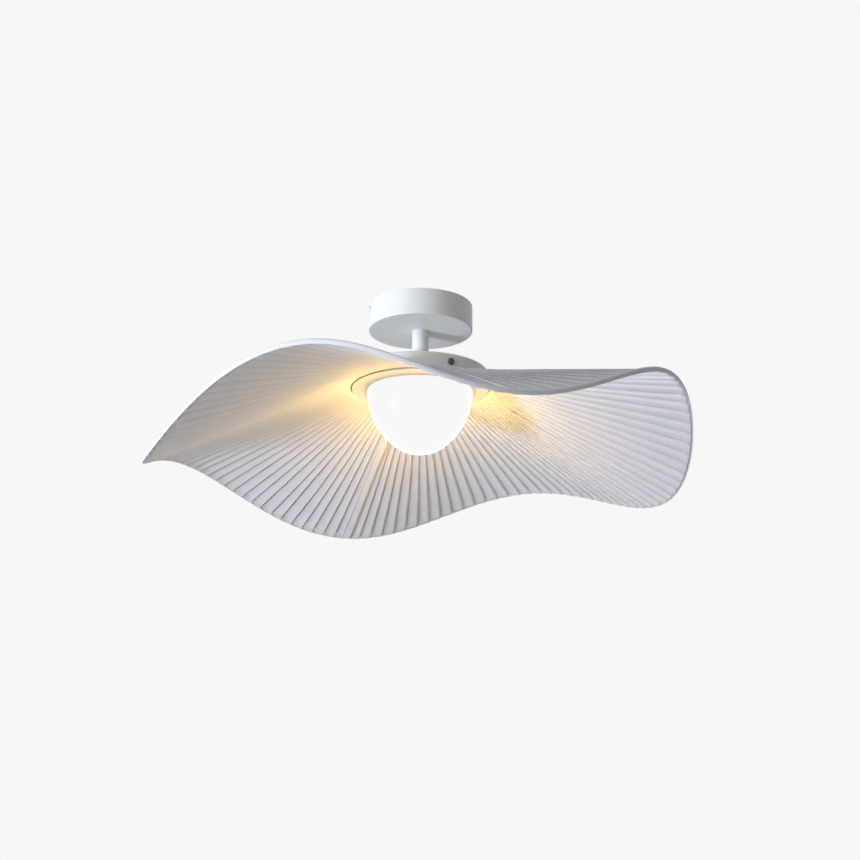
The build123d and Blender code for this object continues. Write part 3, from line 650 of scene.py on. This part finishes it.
def bump(nodes, links, source, height, strength=1.0):
    """Bump of a height in metres."""
    made = nodes.new("ShaderNodeBump")
    made.inputs["Strength"].default_value = strength
    made.inputs["Distance"].default_value = height
    links.new(source, made.inputs["Height"])
    return made.outputs["Normal"]


def coated(name, colour, roughness, grain=900, depth=0.03 * mm, metallic=0.0):
    """Paint, plastic or plain metal: a fine surface grain and a slight wander of tone and gloss."""
    made, nodes, links, output = new_material(name)
    base = shader(nodes, colour, roughness, Metallic=metallic)
    broad = noise(nodes, links, 25, 3)
    darker = tuple(c * 0.96 for c in colour)
    links.new(ramp(nodes, links, broad, darker, colour), base.inputs["Base Color"])
    links.new(spread(nodes, links, broad, roughness * 0.9, roughness * 1.12), base.inputs["Roughness"])
    links.new(bump(nodes, links, noise(nodes, links, grain, 2), depth), base.inputs["Normal"])
    links.new(base.outputs["BSDF"], output.inputs["Surface"])
    return made


def weave_height(nodes, links, thread):
    """Height of a plain weave from the cloth's own coordinates in metres."""
    where = nodes.new("ShaderNodeUVMap")
    where.uv_map = "cloth"
    split = nodes.new("ShaderNodeSeparateXYZ")
    links.new(where.outputs["UV"], split.inputs["Vector"])
    waves = []
    for axis in ("X", "Y"):
        scaled = add_node(nodes, "ShaderNodeMath", operation="MULTIPLY")
        scaled.inputs[1].default_value = 2 * math.pi / thread
        links.new(split.outputs[axis], scaled.inputs[0])
        wave = add_node(nodes, "ShaderNodeMath", operation="SINE")
        links.new(scaled.outputs[0], wave.inputs[0])
        waves.append(wave.outputs[0])
    made = add_node(nodes, "ShaderNodeMath", operation="MULTIPLY")
    links.new(waves[0], made.inputs[0])
    links.new(waves[1], made.inputs[1])
    return made.outputs[0]


def grey(share):
    """A grey as a colour with alpha."""
    return (share, share, share, 1)


def fold_painted_shading(nodes, links, tone, crease_painted_shade):
    """Painted shading on a cloth: painted shade in the creases between its pleats, and painted highlight on
    the lower folds.
    """
    where = nodes.new("ShaderNodeUVMap")
    where.uv_map = "fold"
    split = nodes.new("ShaderNodeSeparateXYZ")
    links.new(where.outputs["UV"], split.inputs["Vector"])
    made = nodes.new("ShaderNodeValToRGB")
    made.color_ramp.elements[0].color = grey(crease_painted_shade)
    made.color_ramp.elements[1].color = grey(pleat_edge_painted_highlight)
    middle = made.color_ramp.elements.new(pleat_face_place)
    middle.color = grey(pleat_face_painted_shade)
    links.new(split.outputs["X"], made.inputs["Fac"])
    mix = nodes.new("ShaderNodeMix")
    mix.data_type = "RGBA"
    mix.blend_type = "MULTIPLY"
    mix.inputs["Factor"].default_value = 1
    links.new(tone, mix.inputs[6])
    links.new(made.outputs["Color"], mix.inputs[7])
    return mix.outputs[2]


def cloth_material(name, colour, through, thread, sheen=0.25, crease_painted_shade=None):
    """Thin white cloth: weave, slubs, sheen, and light that shines through."""
    made, nodes, links, output = new_material(name)
    base = shader(nodes, colour, 0.72, Sheen_Weight=sheen, Sheen_Roughness=0.4)
    slubs = noise(nodes, links, 60, 5)
    darker = tuple(c * 0.955 for c in colour)
    tone = ramp(nodes, links, slubs, darker, colour)
    # the pleated cloth gets painted shade in its creases and painted highlight on its lower folds
    if crease_painted_shade:
        tone = fold_painted_shading(nodes, links, tone, crease_painted_shade)
    links.new(tone, base.inputs["Base Color"])
    links.new(spread(nodes, links, slubs, 0.66, 0.8), base.inputs["Roughness"])
    normal = bump(nodes, links, weave_height(nodes, links, thread), 0.03 * mm, 0.6)
    links.new(normal, base.inputs["Normal"])
    back = nodes.new("ShaderNodeBsdfTranslucent")
    back.inputs["Color"].default_value = (*colour, 1)
    mix = nodes.new("ShaderNodeMixShader")
    mix.inputs["Fac"].default_value = through
    links.new(base.outputs["BSDF"], mix.inputs[1])
    links.new(back.outputs["BSDF"], mix.inputs[2])
    links.new(mix.outputs["Shader"], output.inputs["Surface"])
    return made


def height_share(nodes, links, low_z, high_z):
    """A number that goes from 0 at a low height to 1 at a high one."""
    where = nodes.new("ShaderNodeTexCoord")
    split = nodes.new("ShaderNodeSeparateXYZ")
    links.new(where.outputs["Object"], split.inputs["Vector"])
    made = nodes.new("ShaderNodeMapRange")
    made.inputs["From Min"].default_value = low_z
    made.inputs["From Max"].default_value = high_z
    links.new(split.outputs["Z"], made.inputs["Value"])
    return made.outputs["Result"]


def lit_glass(name, strength, shoulder_share, low_z, high_z):
    """Opal glass lit from inside, with its look and its light set apart by the kind of ray.

    Camera, glossy and transmission rays see it near white. The rays that light things meet a stronger
    warm light, which is weaker and paler at the shoulder, near the tray."""
    made, nodes, links, output = new_material(name)
    base = shader(nodes, (0.01, 0.01, 0.01), 0.3, IOR=1.3, Specular_IOR_Level=0.1, Emission_Strength=1.0)
    cloud = noise(nodes, links, 18, 2)
    dimmer = tuple(c * 0.99 for c in glass_shown)
    links.new(ramp(nodes, links, cloud, dimmer, glass_shown), base.inputs["Emission Color"])
    lamp = nodes.new("ShaderNodeEmission")
    height = height_share(nodes, links, low_z, high_z)
    share = ramp(nodes, links, height, (glass_low_share,) * 3, (shoulder_share,) * 3, 0.72, 0.97)
    power = add_node(nodes, "ShaderNodeMath", operation="MULTIPLY")
    power.inputs[1].default_value = strength
    links.new(share, power.inputs[0])
    links.new(power.outputs[0], lamp.inputs["Strength"])
    tint = ramp(nodes, links, height, glass_light, glass_shoulder_light, 0.5, 1)
    links.new(tint, lamp.inputs["Color"])
    mix = nodes.new("ShaderNodeMixShader")
    links.new(seen_rays(nodes, links), mix.inputs["Fac"])
    links.new(lamp.outputs[0], mix.inputs[1])
    links.new(base.outputs["BSDF"], mix.inputs[2])
    links.new(mix.outputs[0], output.inputs["Surface"])
    return made


def make_materials():
    """Every material, by the record's slot name where it has one."""
    low_z, high_z = (corner[2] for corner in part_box("glass"))
    return {
        "zinc_plate": coated("zinc_plate", (0.62, 0.63, 0.66), 0.38, 500, 0.02 * mm, 1.0),
        "zinc_steel": coated("zinc_steel", (0.6, 0.6, 0.62), 0.33, 700, 0.02 * mm, 1.0),
        "white_enamel": coated("white_enamel", (0.82, 0.82, 0.79), 0.42, 1100, 0.02 * mm),
        "cream_enamel": coated("cream_enamel", (0.85, 0.83, 0.73), 0.45, 1100, 0.02 * mm),
        # painted shade: a darker copy of the tray's enamel, to offset the glass's glow falling on it
        "tray_painted_shade_enamel": coated("tray_painted_shade_enamel", (0.62, 0.62, 0.6), 0.5, 1100, 0.02 * mm),
        "dark_chrome": coated("dark_chrome", (0.1, 0.085, 0.07), 0.22, 300, 0.004 * mm, 1.0),
        "frame_steel": coated("frame_steel", (0.82, 0.82, 0.82), 0.4, 900, 0.02 * mm),
        "pleated_cloth": cloth_material("pleated_cloth", (0.79, 0.8, 0.84), 0.2, 0.42 * mm,
                                        crease_painted_shade=pleat_crease_painted_shade),
        "binding_cloth": cloth_material("binding_cloth", (0.82, 0.82, 0.87), 0.08, 0.5 * mm, 0.4),
        "stitch_thread": coated("stitch_thread", (0.8, 0.79, 0.82), 0.6, 4000, 0.05 * mm),
        "silicone": coated("silicone", (0.8, 0.8, 0.78), 0.5),
        "opal_glass": lit_glass("opal_glass", glass_strength, glass_shoulder_share, low_z, high_z),
        "bulb_glass": lit_glass("bulb_glass", bulb_strength, 1.0, low_z, high_z),
        "bulb_metal": coated("bulb_metal", (0.7, 0.7, 0.69), 0.3, 600, 0.01 * mm, 1.0),
        "holder_plastic": coated("holder_plastic", (0.8, 0.79, 0.74), 0.5),
        "porcelain": coated("porcelain", (0.85, 0.84, 0.8), 0.15, 200, 0.02 * mm),
        "contact_brass": coated("contact_brass", (0.78, 0.6, 0.3), 0.3, 700, 0.01 * mm, 1.0),
        "block_plastic": coated("block_plastic", (0.82, 0.81, 0.78), 0.55),
        "brown_wire": coated("brown_wire", (0.18, 0.08, 0.04), 0.5),
        "blue_wire": coated("blue_wire", (0.04, 0.12, 0.42), 0.5),
        "green_wire": coated("green_wire", (0.14, 0.35, 0.04), 0.5),
    }


# Camera, light and floor

def make_camera():
    """The photograph's camera."""
    pitch, yaw, roll = (math.radians(turn) for turn in (camera_pitch, camera_yaw, camera_roll))
    ahead = Vector((math.sin(yaw) * math.cos(pitch), math.cos(yaw) * math.cos(pitch), math.sin(pitch)))
    level = Vector((math.cos(yaw), -math.sin(yaw), 0))
    above = level.cross(ahead)
    right = level * math.cos(roll) + above * math.sin(roll)
    up = above * math.cos(roll) - level * math.sin(roll)
    data = bpy.data.cameras.new("camera")
    data.sensor_width = sensor_width
    data.lens = focal_share * sensor_width
    made = bpy.data.objects.new("camera", data)
    turned = Matrix((right, up, -ahead)).transposed().to_4x4()
    made.matrix_world = Matrix.Translation(camera_place) @ turned
    bpy.context.scene.collection.objects.link(made)
    bpy.context.scene.camera = made


def area_lamp(name, place, size, power, colour):
    """A square soft light that faces the middle of the shade."""
    data = bpy.data.lights.new(name, "AREA")
    data.size = size
    data.energy = power
    data.color = colour
    made = bpy.data.objects.new(name, data)
    made.location = place
    made.rotation_euler = (Vector(lamp_target) - Vector(place)).to_track_quat("-Z", "Y").to_euler()
    bpy.context.scene.collection.objects.link(made)


def seen_rays(nodes, links):
    """1 for camera, glossy and transmission rays, 0 for the rays that light things."""
    path = nodes.new("ShaderNodeLightPath")
    total = path.outputs["Is Camera Ray"]
    for name in ("Is Glossy Ray", "Is Transmission Ray"):
        both = add_node(nodes, "ShaderNodeMath", operation="MAXIMUM")
        links.new(total, both.inputs[0])
        links.new(path.outputs[name], both.inputs[1])
        total = both.outputs[0]
    return total


def make_world():
    """Plain pale surroundings, dimmer as a light than as a background."""
    world = bpy.data.worlds.new("studio")
    world.use_nodes = True
    nodes, links = world.node_tree.nodes, world.node_tree.links
    nodes.clear()
    output = nodes.new("ShaderNodeOutputWorld")
    light = add_node(nodes, "ShaderNodeBackground", Color=(0.98, 0.98, 1.0, 1), Strength=world_light)
    shown = add_node(nodes, "ShaderNodeBackground", Color=grey(background), Strength=1.0)
    mix = nodes.new("ShaderNodeMixShader")
    links.new(seen_rays(nodes, links), mix.inputs["Fac"])
    links.new(light.outputs[0], mix.inputs[1])
    links.new(shown.outputs[0], mix.inputs[2])
    links.new(mix.outputs[0], output.inputs["Surface"])
    bpy.context.scene.world = world


def make_floor():
    """A pale floor under the light that fades into the background."""
    half = floor_half_width
    plan = ((-half, -half), (half, -half), (half, half), (-half, half))
    corners = np.array([(x, y, floor_z) for x, y in plan])
    floor = mesh_object("floor", corners, np.array([[0, 1, 2, 3]]))
    made, nodes, links, output = new_material("floor_paint")
    matt = shader(nodes, (0.9, 0.9, 0.9), 0.9)
    plain = add_node(nodes, "ShaderNodeEmission", Color=grey(background), Strength=1.0)
    share = add_node(nodes, "ShaderNodeMath", operation="MULTIPLY")
    share.inputs[1].default_value = floor_plain_share
    links.new(seen_rays(nodes, links), share.inputs[0])
    mix = nodes.new("ShaderNodeMixShader")
    links.new(share.outputs[0], mix.inputs["Fac"])
    links.new(matt.outputs["BSDF"], mix.inputs[1])
    links.new(plain.outputs[0], mix.inputs[2])
    links.new(mix.outputs[0], output.inputs["Surface"])
    floor.data.materials.append(made)


def polar_place(azimuth, elevation):
    """A place for a lamp, by its plan angle and height angle seen from the middle of the shade."""
    turn, rise = math.radians(azimuth), math.radians(elevation)
    flat = lamp_distance * math.cos(rise)
    return (flat * math.cos(turn), flat * math.sin(turn), lamp_target[2] + lamp_distance * math.sin(rise))


# The scene

make_camera()
bpy.context.scene.view_settings.view_transform = "Standard"
make_world()
make_floor()
area_lamp("key", polar_place(key_azimuth, key_elevation), key_size, key_power, key_colour)
area_lamp("side", polar_place(side_azimuth, side_elevation), side_size, side_power, side_colour)
area_lamp("fill", fill_place, fill_size, fill_power, fill_colour)
area_lamp("top", top_place, top_size, top_power, top_colour)

materials = make_materials()
look_of = {part["node"]: part["material_slot"] for part in frame["record"]["subparts"]}
# the tray wears a painted shade: its enamel darkened to offset the glass's glow
look_of["tray"] = "tray_painted_shade_enamel"  # darker than the tray's own slot, to hold its tone in the glass's glow
for node, item in frame["nodes"].items():
    for place in item.material_slots:
        place.material = materials[look_of[node]]


def finish_piece(piece, slot, *replaced, material=None):
    """Gives a new piece the material of its slot, or another named one, hangs it on the fixture's body, and
    hides the imported parts it replaces.
    """
    piece.data.materials.append(materials[material or slot])
    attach(piece, "fixture")
    if replaced:
        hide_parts(*replaced)


cloth, cloth_flat, cloth_area = make_cloth()
finish_piece(cloth, "pleated_cloth",
             "fabric_panel_1", "fabric_panel_2", "fabric_panel_3", "fabric_panel_4")
binding = make_binding()
finish_piece(binding, "binding_cloth", "rim_binding")
stitches = make_stitches()
finish_piece(stitches, "binding_cloth", material="stitch_thread")
tacks = make_tacks()
finish_piece(tacks, "binding_cloth", material="stitch_thread")
seam_strip = make_seam_strip()
finish_piece(seam_strip, "binding_cloth", "seam_strip")
